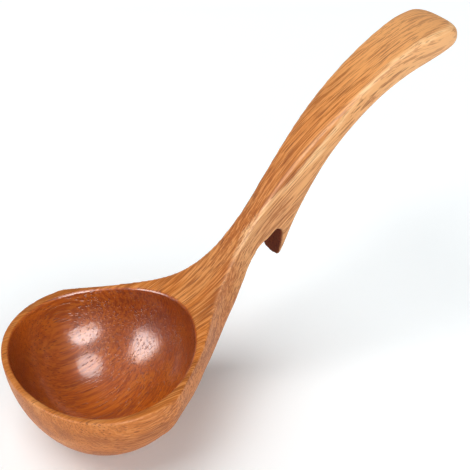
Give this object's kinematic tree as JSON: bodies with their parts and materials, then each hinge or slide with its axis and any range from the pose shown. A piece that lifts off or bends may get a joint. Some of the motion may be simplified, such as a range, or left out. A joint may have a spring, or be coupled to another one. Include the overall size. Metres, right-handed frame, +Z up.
{
  "type": "soup ladle",
  "caption": "Carved hardwood soup ladle: deep egg-shaped bowl, fan-shaped neck, S-curved handle that widens to a rounded tip, and a hook with a notch under the neck",
  "frame": {"origin": "middle of the bounding box's bottom, level with the bowl's underside; the rim lies level", "axes": "+X along the handle from bowl to tip, +Y to the left of it, +Z up out of the bowl"},
  "size_m": [0.2354, 0.0904, 0.135],
  "materials": {
    "oiled_hardwood": "oiled satin, reddish brown with fine dark pores"
  },
  "bodies": {
    "root": {"ladle": "oiled_hardwood"}
  },
  "joints": []
}
